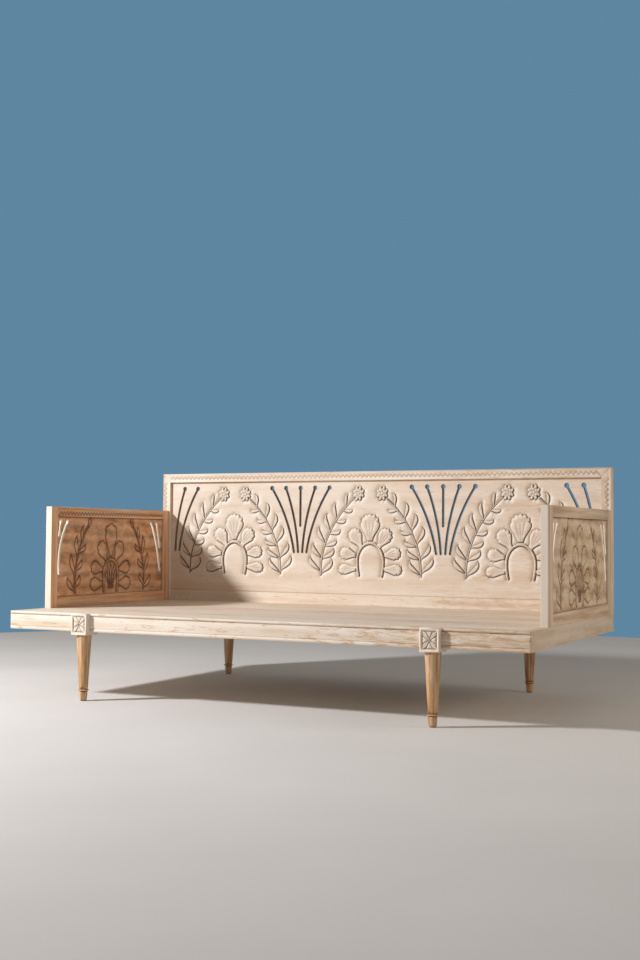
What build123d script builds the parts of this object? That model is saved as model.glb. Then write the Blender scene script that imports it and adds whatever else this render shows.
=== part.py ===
from build123d import *

import os
from math import sqrt

os.makedirs("parts", exist_ok=True)

# Carved daybed: a plank deck in a moulded rail frame on four turned legs, with two framed arm
# panels and a framed back panel. All sizes in mm. X runs along the daybed, the front faces -Y,
# and Z is up from the floor. The origin is on the floor, under the middle of the deck.

# Overall
platform_width = 2030.0
platform_depth = 1100.0
deck_height = 320.0
back_height = 883.0
arm_height = 718.0
arm_setback = 205.0

# Rails round the deck
rail_height = 67.0
rail_thickness = 34.0
side_rail_thickness = 32.0
corner_round = 7.0

# Moulding on the front and rear rails, from the bottom up: bead, quirk, swelled face, quirk, lip
bead_height = 11.0
bead_quirk_height = 2.5
bead_quirk_depth = 3.5
lip_height = 9.0
lip_quirk_height = 3.5
lip_quirk_depth = 6.0
moulding_round = 2.0

# Deck
plank_count = 7
plank_thickness = 22.0
plank_gap = 0.5
plank_chamfer = 0.6
bearer_thickness = 30.0
bearer_housing = 10.0
cleat_width = 28.0
cleat_height = 30.0

# Leg blocks and legs
leg_spacing = 1368.0
block_width = 68.0
block_depth = 72.0
block_proud = 20.0
block_drop = 11.0
block_seat = 9.0
block_chamfer = 1.5
leg_top_radius = 27.5
leg_ankle_radius = 16.0
ring_radius = 17.5
ring_height = 7.0
ring_floor_height = 36.0
ring_quirk = 2.0
foot_top_radius = 15.0
foot_bottom_radius = 13.0
glide_radius = 10.0
glide_thickness = 4.0
glide_pin_radius = 1.5
glide_pin_length = 14.0

# Back frame and panel
back_thickness = 48.0
back_frame_width = 38.0
back_bottom_rail_height = 45.0
back_panel_thickness = 20.0
back_panel_recess = 13.0
back_groove_depth = 12.0
back_tongue_thickness = 8.0
back_tongue_length = 8.0

# Arm frames and panels
arm_thickness = 31.0
arm_stile_width = 41.0
arm_top_rail_height = 38.0
arm_bottom_rail_height = 41.0
arm_panel_thickness = 17.0
arm_groove_depth = 9.0
arm_nose_round = 8.0

# Frame joints
edge_round = 1.5
tenon_length = 25.0
tenon_shoulder = 8.0
back_tenon_thickness = 14.0
arm_tenon_thickness = 12.0
bearer_tenon_length = 18.0
bearer_tenon_thickness = 12.0
bearer_tenon_shoulder = 10.0
joint_clearance = 0.1
panel_clearance = 0.15
panel_movement = 2.0
mitre_key_width = 16.0
mitre_key_thickness = 8.0
mitre_key_wall = 2.0
mitre_key_cover = 2.5

# Pierced fans of the back: five slots that spread from the foot of the fan to round heads
fan_pitch = 652.0
slot_width = 11.0
slot_head_radius = 10.0
fan_head_drop = 29.0
fan_length = 275.0
fan_middle_length = 162.0
fan_inner_head = 70.0
fan_outer_head = 138.0
fan_inner_foot = 10.0
fan_outer_foot = 30.0
fan_inner_bow = 11.0
fan_outer_bow = 15.5
half_fan_foot_shift = 13.0

# Pierced half fans of the arms: one long and one short slot beside each stile
arm_slot_width = 13.0
arm_slot_head_radius = 9.0
arm_head_drop = 21.0
arm_head_spacing = 44.0
front_fan_inset = 26.0
front_fan_foot = 17.0
front_fan_bow = 20.0
front_long_length = 206.0
front_short_length = 55.0
rear_fan_inset = 46.0
rear_fan_foot = 20.0
rear_fan_bow = 10.0
rear_long_length = 205.0
rear_short_length = 104.0

# Screws, bolts and dowels
hole_clearance = 0.1
screw_radius = 2.25
screw_head_radius = 4.5
screw_head_height = 3.0
deck_screw_length = 35.0
deck_screw_bore_depth = 20.0
block_screw_length = 46.0
block_screw_spacing = 36.0
arm_screw_length = 62.0
arm_screw_edge = 85.0
plug_radius = 6.0
plug_length = 8.0
dowel_radius = 5.0
dowel_spacing = 30.0
dowel_in_rail = 20.0
dowel_in_side = 24.0
bolt_radius = 4.0
bolt_head_radius = 6.5
bolt_head_height = 5.0
bolt_socket_width = 6.0
bolt_socket_depth = 3.0
bolt_bore_radius = 8.5
bolt_bore_depth = 10.0
bolt_tip_gap = 3.0
washer_radius = 8.0
washer_thickness = 1.6
insert_radius = 6.0
insert_length = 18.0
arm_bolt_radius = 3.0
arm_bolt_reach = 27.0
arm_bolt_spacing = 260.0
arm_insert_radius = 5.0
back_bolt_reach = 31.0
leg_bolt_in_leg = 45.0
leg_bolt_in_block = 32.0

# Places worked out from the sizes above
rail_bottom = deck_height - rail_height
plank_bottom = deck_height - plank_thickness
block_bottom = rail_bottom - block_drop
half_width = platform_width / 2
half_depth = platform_depth / 2
rail_inner = half_depth - rail_thickness
side_rail_inner = half_width - side_rail_thickness
block_inner = half_depth + block_proud - block_depth
leg_line = half_depth + block_proud - block_depth / 2
leg_reach = leg_spacing / 2
bearer_places = [-leg_reach, -leg_reach / 2, 0.0, leg_reach / 2, leg_reach]
back_front = half_depth - back_thickness
back_panel_front = back_front + back_panel_recess
back_panel_middle = back_panel_front + back_panel_thickness / 2
back_rail_middle = (back_panel_front + half_depth) / 2
back_opening = half_width - back_frame_width
back_panel_top = back_height - back_frame_width
back_panel_bottom = deck_height + back_bottom_rail_height
arm_middle = half_width - arm_thickness / 2
arm_front = arm_setback - half_depth
arm_rear = back_front
arm_centre = (arm_front + arm_rear) / 2
arm_opening = (arm_front + arm_stile_width, arm_rear - arm_stile_width)
arm_panel_top = arm_height - arm_top_rail_height
arm_panel_bottom = deck_height + arm_bottom_rail_height

UP = (0, 0, 1)
DOWN = (0, 0, -1)


def save(piece, name):
    """Names a finished piece and writes it as its own node."""
    piece.label = name
    export_step(piece, f"parts/{name}.step")


def block_at(x_span, y_span, z_span, mode=Mode.ADD):
    """A square-cornered block between two values of x, y and z, in the piece being built."""
    spans = [sorted(span) for span in (x_span, y_span, z_span)]
    with Locations(Vector(*[(low + high) / 2 for low, high in spans])):
        Box(*[high - low for low, high in spans], mode=mode)


def pocket(x_span, y_span, z_span):
    """A mortise, groove, housing or notch cut out of the piece being built."""
    block_at(x_span, y_span, z_span, Mode.SUBTRACT)


def bore(start, direction, radius, depth):
    """A round hole from start, along direction, in the piece being built."""
    with Locations(Plane(origin=start, z_dir=direction)):
        Cylinder(radius, depth, align=(Align.CENTER, Align.CENTER, Align.MIN), mode=Mode.SUBTRACT)


def rod(start, direction, radius, length, mode=Mode.ADD):
    """A round rod from start, along direction, in the piece being built."""
    with Locations(Plane(origin=start, z_dir=direction)):
        Cylinder(radius, length, align=(Align.CENTER, Align.CENTER, Align.MIN), mode=mode)


def around(middle, width):
    """The two values half a width below and above a middle value."""
    return (middle - width / 2, middle + width / 2)


def screw(seat, direction, length):
    """A wood screw whose head bears on seat and whose shank runs along direction."""
    backwards = tuple(-part for part in direction)
    rod(seat, backwards, screw_head_radius, screw_head_height)
    rod(seat, direction, screw_radius, length)


def bolt(seat, radius, head_radius, length):
    """A socket-head bolt that points up, with its head under a washer at seat."""
    x, y, z = seat
    head_bottom = z - bolt_head_height
    rod(seat, UP, radius, length)
    rod((x, y, head_bottom), UP, head_radius, bolt_head_height)
    block_at(
        around(x, bolt_socket_width),
        around(y, bolt_socket_width),
        (head_bottom, head_bottom + bolt_socket_depth),
        Mode.SUBTRACT,
    )


def sleeve(start, direction, outer, inner, length):
    """A round sleeve, such as a washer or a threaded insert, from start along direction."""
    rod(start, direction, outer, length)
    rod(start, direction, inner, length, Mode.SUBTRACT)


# Front and rear rails: moulded outside, notched from below over the leg blocks, housed inside
# for the bearers and bored for the dowels of the side rails.
back_bolt_places = [(low + high) / 2 for low, high in zip(bearer_places, bearer_places[1:])]
end_bolt_place = (leg_reach + side_rail_inner) / 2
back_bolt_places = [-end_bolt_place, *back_bolt_places, end_bolt_place]
dowel_heights = around(rail_bottom + rail_height / 2, dowel_spacing)
dowel_line = half_width - side_rail_thickness / 2
block_screw_height = plank_bottom + plank_thickness / 2
block_seat_line = half_depth - block_seat


def moulded_rail(facing):
    """The front rail (facing -1) or the rear rail (facing 1)."""
    face_bottom = bead_height + bead_quirk_height
    face_top = rail_height - lip_height - lip_quirk_height

    def at(depth, height):
        return (facing * (half_depth - depth), rail_bottom + height)

    with BuildPart() as rail:
        with BuildSketch(Plane.YZ.offset(-half_width)):
            with BuildLine():
                ThreePointArc(at(moulding_round, 0), at(0, bead_height / 2), at(moulding_round, bead_height))
                Polyline(
                    at(moulding_round, bead_height),
                    at(bead_quirk_depth, bead_height),
                    at(bead_quirk_depth, face_bottom),
                    at(moulding_round, face_bottom),
                )
                ThreePointArc(
                    at(moulding_round, face_bottom),
                    at(0, (face_bottom + face_top) / 2),
                    at(moulding_round, face_top),
                )
                Polyline(
                    at(moulding_round, face_top),
                    at(lip_quirk_depth, face_top),
                    at(lip_quirk_depth, rail_height - lip_height),
                    at(moulding_round, rail_height - lip_height),
                )
                ThreePointArc(
                    at(moulding_round, rail_height - lip_height),
                    at(0, rail_height - lip_height / 2),
                    at(moulding_round, rail_height),
                )
                Polyline(
                    at(moulding_round, rail_height),
                    at(rail_thickness, rail_height),
                    at(rail_thickness, 0),
                    at(moulding_round, 0),
                )
            make_face()
        extrude(amount=platform_width)
        with BuildSketch(Plane.XY.offset(rail_bottom)):
            RectangleRounded(platform_width, platform_depth, corner_round)
        extrude(amount=rail_height, mode=Mode.INTERSECT)
        for x in (-leg_reach, leg_reach):
            pocket(
                around(x, block_width),
                (facing * half_depth, facing * rail_inner),
                (rail_bottom, plank_bottom),
            )
            pocket(
                around(x, block_width),
                (facing * half_depth, facing * block_seat_line),
                (plank_bottom, deck_height),
            )
            for screw_x in around(x, block_screw_spacing):
                start = (screw_x, facing * rail_inner, block_screw_height)
                outwards = (0, facing, 0)
                bore(start, outwards, screw_radius + hole_clearance, rail_thickness)
                bore(start, outwards, screw_head_radius + hole_clearance, screw_head_height)
        for x in bearer_places[1:-1]:
            pocket(
                around(x, bearer_thickness),
                (facing * rail_inner, facing * (rail_inner + bearer_housing)),
                (rail_bottom, plank_bottom),
            )
        for x in (-dowel_line, dowel_line):
            for z in dowel_heights:
                bore((x, facing * rail_inner, z), (0, facing, 0), dowel_radius + hole_clearance, dowel_in_rail)
        if facing > 0:
            for x in back_bolt_places:
                bore((x, back_rail_middle, rail_bottom), UP, bolt_radius + hole_clearance, rail_height)
                bore((x, back_rail_middle, rail_bottom), UP, bolt_bore_radius, bolt_bore_depth)
    return rail.part


save(moulded_rail(-1), "front_rail")
save(moulded_rail(1), "rear_rail")

# Side rails: plain boards between the front and rear rails, flush with their ends.
arm_bolt_places = [arm_centre - arm_bolt_spacing, arm_centre, arm_centre + arm_bolt_spacing]


def side_rail(side):
    """The left rail (side -1) or the right rail (side 1)."""
    with BuildPart() as rail:
        with BuildSketch(Plane.XZ.offset(-rail_inner)):
            with Locations((side * dowel_line, rail_bottom + rail_height / 2)):
                RectangleRounded(side_rail_thickness, rail_height, edge_round)
        extrude(amount=2 * rail_inner)
        for facing in (-1, 1):
            for z in dowel_heights:
                start = (side * dowel_line, facing * rail_inner, z)
                bore(start, (0, -facing, 0), dowel_radius + hole_clearance, dowel_in_side)
        for y in arm_bolt_places:
            bore((side * arm_middle, y, rail_bottom), UP, arm_bolt_radius + hole_clearance, rail_height)
            bore((side * arm_middle, y, rail_bottom), UP, bolt_bore_radius, bolt_bore_depth)
    return rail.part


save(side_rail(-1), "left_rail")
save(side_rail(1), "right_rail")

# Dowels: two in each corner of the rail frame.
with BuildPart() as rail_dowels:
    for x in (-dowel_line, dowel_line):
        for facing in (-1, 1):
            for z in dowel_heights:
                start = (x, facing * (rail_inner + dowel_in_rail), z)
                rod(start, (0, -facing, 0), dowel_radius, dowel_in_rail + dowel_in_side)
save(rail_dowels.part, "rail_dowels")

# Leg blocks: square in plan, let into the rail from below, with a front wall up to the deck.
insert_bore_depth = leg_bolt_in_block + bolt_tip_gap
bearer_middle = (rail_bottom + plank_bottom) / 2
bearer_height = plank_bottom - rail_bottom
bearer_tenon_height = bearer_height - 2 * bearer_tenon_shoulder


def leg_block(x, facing):
    """One leg block, at x, in the front (facing -1) or rear (facing 1) rail."""
    middle = facing * leg_line
    proud_line = half_depth + block_proud
    with BuildPart() as block:
        with BuildSketch(Plane.XY.offset(block_bottom)):
            with Locations((x, middle)):
                Rectangle(block_width, block_depth)
        extrude(amount=plank_bottom - block_bottom)
        with BuildSketch(Plane.XY.offset(plank_bottom)):
            with Locations((x, facing * (proud_line + block_seat_line) / 2)):
                Rectangle(block_width, proud_line - block_seat_line)
        extrude(amount=plank_thickness)
        front_faces = block.faces().filter_by(Axis.Y).sort_by(Axis.Y)
        front_face = front_faces[-1] if facing > 0 else front_faces[0]
        chamfer(front_face.edges(), length=block_chamfer)
        bore((x, middle, block_bottom), UP, bolt_radius + hole_clearance, insert_bore_depth)
        bore((x, middle, block_bottom), UP, insert_radius + hole_clearance, insert_length)
        pocket(
            around(x, bearer_tenon_thickness + 2 * joint_clearance),
            (facing * block_inner, facing * (block_inner + bearer_tenon_length + joint_clearance)),
            around(bearer_middle, bearer_tenon_height + 2 * joint_clearance),
        )
        for screw_x in around(x, block_screw_spacing):
            start = (screw_x, facing * block_seat_line, block_screw_height)
            pilot_depth = block_screw_length + screw_head_height - (block_seat_line - rail_inner)
            bore(start, (0, facing, 0), screw_radius + hole_clearance, pilot_depth)
    return block.part


# Legs: turned from one piece, a long taper, a ring between two quirks and a short foot.
def turned_leg(x, facing):
    """One leg, under the block at x in the front (facing -1) or rear (facing 1) rail."""
    middle = facing * leg_line
    ring_top = ring_floor_height + ring_height
    with BuildPart() as leg:
        with BuildSketch(Plane(origin=(x, middle, 0), x_dir=(1, 0, 0), z_dir=(0, -1, 0))):
            with BuildLine():
                Polyline(
                    (0, glide_thickness),
                    (foot_bottom_radius, glide_thickness),
                    (foot_top_radius, ring_floor_height - ring_quirk),
                    (foot_top_radius - ring_quirk, ring_floor_height - ring_quirk),
                    (foot_top_radius - ring_quirk, ring_floor_height),
                )
                ThreePointArc(
                    (foot_top_radius - ring_quirk, ring_floor_height),
                    (ring_radius, ring_floor_height + ring_height / 2),
                    (leg_ankle_radius - ring_quirk, ring_top),
                )
                Polyline(
                    (leg_ankle_radius - ring_quirk, ring_top),
                    (leg_ankle_radius - ring_quirk, ring_top + ring_quirk),
                    (leg_ankle_radius, ring_top + ring_quirk),
                    (leg_top_radius, block_bottom - edge_round),
                    (leg_top_radius - edge_round, block_bottom),
                    (0, block_bottom),
                    (0, glide_thickness),
                )
            make_face()
        revolve(axis=Axis((x, middle, 0), UP))
        bore((x, middle, block_bottom), DOWN, bolt_radius + hole_clearance, leg_bolt_in_leg)
        bore((x, middle, glide_thickness), UP, glide_pin_radius + hole_clearance, glide_pin_length)
    return leg.part


leg_places = [
    (x, facing, f"{end}_{side}")
    for facing, end in ((-1, "front"), (1, "rear"))
    for x, side in ((-leg_reach, "left"), (leg_reach, "right"))
]
for x, facing, corner in leg_places:
    save(leg_block(x, facing), f"leg_block_{corner}")
    save(turned_leg(x, facing), f"leg_{corner}")

# Leg fixings: a hanger bolt in each leg, a threaded insert in each block, a glide on each foot.
with BuildPart() as leg_bolts:
    for x, facing, corner in leg_places:
        start = (x, facing * leg_line, block_bottom - leg_bolt_in_leg)
        rod(start, UP, bolt_radius, leg_bolt_in_leg + leg_bolt_in_block)
save(leg_bolts.part, "leg_bolts")

with BuildPart() as leg_inserts:
    for x, facing, corner in leg_places:
        start = (x, facing * leg_line, block_bottom)
        sleeve(start, UP, insert_radius, bolt_radius + hole_clearance, insert_length)
save(leg_inserts.part, "leg_inserts")

with BuildPart() as foot_glides:
    for x, facing, corner in leg_places:
        rod((x, facing * leg_line, 0), UP, glide_radius, glide_thickness)
        rod((x, facing * leg_line, glide_thickness), UP, glide_pin_radius, glide_pin_length)
save(foot_glides.part, "foot_glides")

with BuildPart() as block_screws:
    for x, facing, corner in leg_places:
        for screw_x in around(x, block_screw_spacing):
            seat = (screw_x, facing * (rail_inner + screw_head_height), block_screw_height)
            screw(seat, (0, facing, 0), block_screw_length)
save(block_screws.part, "block_screws")

# Cross bearers under the planks: those at the legs are tenoned into the leg blocks, the others
# are housed in the front and rear rails. Each is counterbored from below for the plank screws.
plank_pitch = (2 * rail_inner + plank_gap) / plank_count
plank_width = plank_pitch - plank_gap
plank_places = [-rail_inner + plank_width / 2 + number * plank_pitch for number in range(plank_count)]


def cross_bearer(x):
    """One bearer at x."""
    at_leg = abs(x) == leg_reach
    reach = block_inner if at_leg else rail_inner + bearer_housing
    with BuildPart() as bearer:
        with BuildSketch(Plane.XZ.offset(-reach)):
            with Locations((x, bearer_middle)):
                Rectangle(bearer_thickness, bearer_height)
        extrude(amount=2 * reach)
        if at_leg:
            block_at(
                around(x, bearer_tenon_thickness),
                around(0, 2 * (reach + bearer_tenon_length)),
                around(bearer_middle, bearer_tenon_height),
            )
        for y in plank_places:
            bore((x, y, rail_bottom), UP, screw_head_radius + hole_clearance, deck_screw_bore_depth)
            bore((x, y, rail_bottom), UP, screw_radius + hole_clearance, bearer_height)
    return bearer.part


for number, x in enumerate(bearer_places, start=1):
    save(cross_bearer(x), f"cross_bearer_{number}")

# End cleats: glued and pinned to the side rails, they carry the ends of the planks.
for side, name in ((-1, "left"), (1, "right")):
    with BuildPart() as end_cleat:
        block_at(
            (side * side_rail_inner, side * (side_rail_inner - cleat_width)),
            (-rail_inner, rail_inner),
            (plank_bottom - cleat_height, plank_bottom),
        )
    save(end_cleat.part, f"end_cleat_{name}")

# Deck planks, side by side from front to rear, flush with the tops of the rails.
deck_screw_seat = rail_bottom + deck_screw_bore_depth
deck_screw_tip = deck_screw_seat + deck_screw_length
for number, y in enumerate(plank_places, start=1):
    with BuildPart() as plank:
        with BuildSketch(Plane.XY.offset(plank_bottom)):
            with Locations((0, y)):
                Rectangle(2 * (side_rail_inner - joint_clearance), plank_width)
        extrude(amount=plank_thickness)
        chamfer(plank.edges().filter_by(Axis.X).group_by(Axis.Z)[-1], length=plank_chamfer)
        for x in bearer_places:
            pilot_depth = deck_screw_tip - plank_bottom
            bore((x, y, plank_bottom), UP, screw_radius + hole_clearance, pilot_depth)
    save(plank.part, f"deck_plank_{number}")

with BuildPart() as deck_screws:
    for x in bearer_places:
        for y in plank_places:
            screw((x, y, deck_screw_seat), UP, deck_screw_length)
save(deck_screws.part, "deck_screws")

# Back frame: a top rail mitred to two stiles that stand on the platform, and a bottom rail
# tenoned between the stiles, set back so that its front is flush with the panel.
back_middle = half_depth - back_thickness / 2
back_groove = around(back_panel_middle, back_panel_thickness + 2 * panel_clearance)
back_groove_top = back_panel_top + back_groove_depth
back_groove_reach = back_opening + back_groove_depth
back_tenon_heights = (deck_height + tenon_shoulder, back_panel_bottom - tenon_shoulder - back_tongue_length)
mitre_key_middle = back_groove_depth * sqrt(2) + mitre_key_wall + mitre_key_width / 2
mitre_key_reach = (back_frame_width - mitre_key_cover) * sqrt(2) - mitre_key_middle - mitre_key_width / 2
arm_screw_heights = (deck_height + arm_screw_edge, arm_height - arm_screw_edge)
arm_screw_seat = half_depth - plug_length - screw_head_height
inner_corner = (back_opening, back_panel_top)
outer_corner = (half_width, back_height)


def mitre_key(side, slack, mode):
    """The loose tenon of one mitre, or with slack the mortise that takes it. Its X runs up the
    mitre from the inner corner, and its Z runs across the joint."""
    x, z = inner_corner
    corner = Plane(origin=(side * x, back_middle, z), x_dir=(side, 0, 1), z_dir=(side, 0, -1))
    with Locations(Plane(corner.location * Pos(mitre_key_middle, 0, 0))):
        Box(
            mitre_key_width + slack,
            mitre_key_thickness + slack,
            2 * mitre_key_reach + slack,
            mode=mode,
        )


with BuildPart() as back_top_rail:
    with BuildSketch(Plane.YZ.offset(-half_width)):
        with Locations((back_middle, (back_panel_top + back_height) / 2)):
            RectangleRounded(back_thickness, back_frame_width, edge_round)
    extrude(amount=platform_width)
    with BuildSketch(Plane.XZ.offset(-half_depth)):
        for side in (-1, 1):
            corners = (inner_corner, outer_corner, (half_width, back_panel_top))
            Polygon(*[(side * x, z) for x, z in corners], align=None)
    extrude(amount=back_thickness, mode=Mode.SUBTRACT)
    pocket((-half_width, half_width), back_groove, (back_panel_top, back_groove_top))
    for side in (-1, 1):
        mitre_key(side, 2 * joint_clearance, Mode.SUBTRACT)
save(back_top_rail.part, "back_top_rail")


def back_stile(side):
    """The left (side -1) or right (side 1) stile of the back."""
    with BuildPart() as stile:
        with BuildSketch(Plane.XY.offset(deck_height)):
            with Locations((side * (back_opening + half_width) / 2, back_middle)):
                RectangleRounded(back_frame_width, back_thickness, edge_round)
        extrude(amount=back_height - deck_height)
        with BuildSketch(Plane.XZ.offset(-half_depth)):
            corners = (inner_corner, outer_corner, (back_opening, back_height))
            Polygon(*[(side * x, z) for x, z in corners], align=None)
        extrude(amount=back_thickness, mode=Mode.SUBTRACT)
        pocket(
            (side * back_opening, side * back_groove_reach),
            back_groove,
            (back_panel_bottom, back_groove_top),
        )
        pocket(
            (side * back_opening, side * (back_opening + tenon_length + joint_clearance)),
            around(back_rail_middle, back_tenon_thickness + 2 * joint_clearance),
            (back_tenon_heights[0] - joint_clearance, back_tenon_heights[1] + joint_clearance),
        )
        mitre_key(side, 2 * joint_clearance, Mode.SUBTRACT)
        for z in arm_screw_heights:
            start = (side * arm_middle, half_depth, z)
            bore(start, (0, -1, 0), plug_radius + hole_clearance, plug_length + screw_head_height)
            bore(start, (0, -1, 0), screw_radius + hole_clearance, back_thickness)
    return stile.part


save(back_stile(-1), "back_stile_left")
save(back_stile(1), "back_stile_right")

with BuildPart() as mitre_keys:
    for side in (-1, 1):
        mitre_key(side, 0, Mode.ADD)
save(mitre_keys.part, "mitre_keys")

back_bolt_seat = rail_bottom + bolt_bore_depth
back_bolt_tip = deck_height + back_bolt_reach
tongue_middle = back_panel_middle
with BuildPart() as back_bottom_rail:
    block_at((-back_opening, back_opening), (back_panel_front, half_depth), (deck_height, back_panel_bottom))
    block_at(
        around(0, 2 * (back_opening + tenon_length)),
        around(back_rail_middle, back_tenon_thickness),
        back_tenon_heights,
    )
    pocket(
        (-back_opening, back_opening),
        around(tongue_middle, back_tongue_thickness + 2 * panel_clearance),
        (back_panel_bottom - back_tongue_length - panel_clearance, back_panel_bottom),
    )
    for x in back_bolt_places:
        start = (x, back_rail_middle, deck_height)
        bore(start, UP, insert_radius + hole_clearance, insert_length)
        bore(start, UP, bolt_radius + hole_clearance, back_bolt_reach + bolt_tip_gap)
save(back_bottom_rail.part, "back_bottom_rail")

# Back panel: one glued-up board, held in the grooves with room to move, tongued into the bottom
# rail and pierced by two full fans and two half fans of slots.
slot_head_height = back_panel_top - fan_head_drop
slot_foot_height = slot_head_height - fan_length


def fan_slots(centre, side, foot_shift):
    """The centre lines (head, foot, bow) of the two slots on one side of a fan."""
    inner = (fan_inner_head, fan_inner_foot + foot_shift, fan_inner_bow)
    outer = (fan_outer_head, fan_outer_foot + foot_shift, fan_outer_bow)
    for head, foot, bow in (inner, outer):
        yield (
            (centre + side * head, slot_head_height),
            (centre + side * foot, slot_foot_height),
            -side * bow,
        )


back_slots = []
for fan_centre in (-fan_pitch / 2, fan_pitch / 2):
    for side in (-1, 1):
        back_slots += fan_slots(fan_centre, side, 0)
for side in (-1, 1):
    back_slots += fan_slots(-side * back_opening, side, half_fan_foot_shift)

with BuildPart() as back_panel:
    block_at(
        around(0, 2 * (back_groove_reach - panel_movement)),
        around(back_panel_middle, back_panel_thickness),
        (back_panel_bottom, back_groove_top - panel_movement),
    )
    block_at(
        around(0, 2 * (back_opening - panel_clearance)),
        around(tongue_middle, back_tongue_thickness),
        (back_panel_bottom - back_tongue_length, back_panel_bottom),
    )
    with BuildSketch(Plane.XZ.offset(-back_panel_front)):
        for head, foot, bow in back_slots:
            with BuildLine(mode=Mode.PRIVATE):
                centre_line = SagittaArc(head, foot, bow)
            SlotArc(centre_line, slot_width)
            with Locations(head):
                Circle(slot_head_radius)
        for fan_centre in (-fan_pitch / 2, fan_pitch / 2):
            with Locations((fan_centre, slot_head_height - fan_middle_length / 2)):
                SlotCenterToCenter(fan_middle_length, slot_width, rotation=90)
            with Locations((fan_centre, slot_head_height)):
                Circle(slot_head_radius)
    extrude(amount=-back_panel_thickness, mode=Mode.SUBTRACT)
save(back_panel.part, "back_panel")

# Back fixings: bolts up through the rear rail into threaded inserts in the bottom rail.
with BuildPart() as back_bolts:
    for x in back_bolt_places:
        seat = (x, back_rail_middle, back_bolt_seat - washer_thickness)
        bolt(seat, bolt_radius, bolt_head_radius, back_bolt_tip - seat[2])
save(back_bolts.part, "back_bolts")

with BuildPart() as back_washers:
    for x in back_bolt_places:
        start = (x, back_rail_middle, back_bolt_seat)
        sleeve(start, DOWN, washer_radius, bolt_radius + hole_clearance, washer_thickness)
save(back_washers.part, "back_washers")

with BuildPart() as back_inserts:
    for x in back_bolt_places:
        start = (x, back_rail_middle, deck_height)
        sleeve(start, UP, insert_radius, bolt_radius + hole_clearance, insert_length)
save(back_inserts.part, "back_inserts")

# Arm frames: two full-height stiles with a top and a bottom rail tenoned between them, and a
# panel in grooves all round. Each arm stands on a side rail and meets the front of the back.
arm_groove_width = arm_panel_thickness + 2 * panel_clearance
top_tenon_heights = (arm_panel_top + arm_groove_depth, arm_height - tenon_shoulder)
bottom_tenon_heights = (deck_height + tenon_shoulder, arm_panel_bottom - arm_groove_depth)
arm_panel_y = (
    arm_opening[0] - arm_groove_depth + panel_movement,
    arm_opening[1] + arm_groove_depth - panel_movement,
)
arm_panel_z = (arm_panel_bottom - arm_groove_depth, arm_panel_top + arm_groove_depth - panel_movement)
arm_head_height = arm_panel_top - arm_head_drop


def arm_stile(side, inner_edge, outer_edge):
    """One stile of the arm on side, between its inner and outer edges along Y."""
    inwards = 1 if inner_edge > outer_edge else -1
    with BuildPart() as stile:
        block_at(
            around(side * arm_middle, arm_thickness),
            (inner_edge, outer_edge),
            (deck_height, arm_height),
        )
        nose = Vertex(side * half_width, outer_edge, arm_height)
        corners = stile.edges().filter_by(Axis.Z).sort_by_distance(nose)
        fillet(corners[1:], edge_round)
        corners = stile.edges().filter_by(Axis.Z).sort_by_distance(nose)
        fillet(corners[0], arm_nose_round if inwards > 0 else edge_round)
        pocket(
            around(side * arm_middle, arm_groove_width),
            (inner_edge, inner_edge - inwards * arm_groove_depth),
            (arm_panel_bottom - arm_groove_depth, arm_panel_top + arm_groove_depth),
        )
        for heights in (top_tenon_heights, bottom_tenon_heights):
            pocket(
                around(side * arm_middle, arm_tenon_thickness + 2 * joint_clearance),
                (inner_edge, inner_edge - inwards * (tenon_length + joint_clearance)),
                (heights[0] - joint_clearance, heights[1] + joint_clearance),
            )
        if inwards < 0:
            for z in arm_screw_heights:
                pilot_depth = arm_screw_length - (arm_screw_seat - arm_rear)
                bore((side * arm_middle, outer_edge, z), (0, -1, 0), screw_radius + hole_clearance, pilot_depth)
    return stile.part


def arm_rail(side, low, high, tenon_heights, groove_heights, insert_places):
    """The top or bottom rail of the arm on side, between the heights low and high."""
    with BuildPart() as rail:
        with BuildSketch(Plane.XZ.offset(-arm_opening[1])):
            with Locations((side * arm_middle, (low + high) / 2)):
                RectangleRounded(arm_thickness, high - low, edge_round)
        extrude(amount=arm_opening[1] - arm_opening[0])
        block_at(
            around(side * arm_middle, arm_tenon_thickness),
            (arm_opening[0] - tenon_length, arm_opening[1] + tenon_length),
            tenon_heights,
        )
        pocket(around(side * arm_middle, arm_groove_width), arm_opening, groove_heights)
        for y in insert_places:
            start = (side * arm_middle, y, deck_height)
            bore(start, UP, arm_insert_radius + hole_clearance, insert_length)
            bore(start, UP, arm_bolt_radius + hole_clearance, arm_bolt_reach + bolt_tip_gap)
    return rail.part


# Slots of an arm panel, as (head, foot, bow): the heads stand at even spacing from the stile,
# the feet lean towards it, and the short slot stops where the fan would run behind the stile.
front_edge, rear_edge = arm_opening
front_foot_line = front_edge + front_fan_foot
rear_foot_line = rear_edge - rear_fan_foot
arm_slots = [
    (front_edge + front_fan_inset, front_foot_line, front_short_length, 0),
    (front_edge + front_fan_inset + arm_head_spacing, front_foot_line, front_long_length, -front_fan_bow),
    (rear_edge - rear_fan_inset, rear_foot_line, rear_short_length, 0),
    (rear_edge - rear_fan_inset - arm_head_spacing, rear_foot_line, rear_long_length, rear_fan_bow),
]


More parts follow.
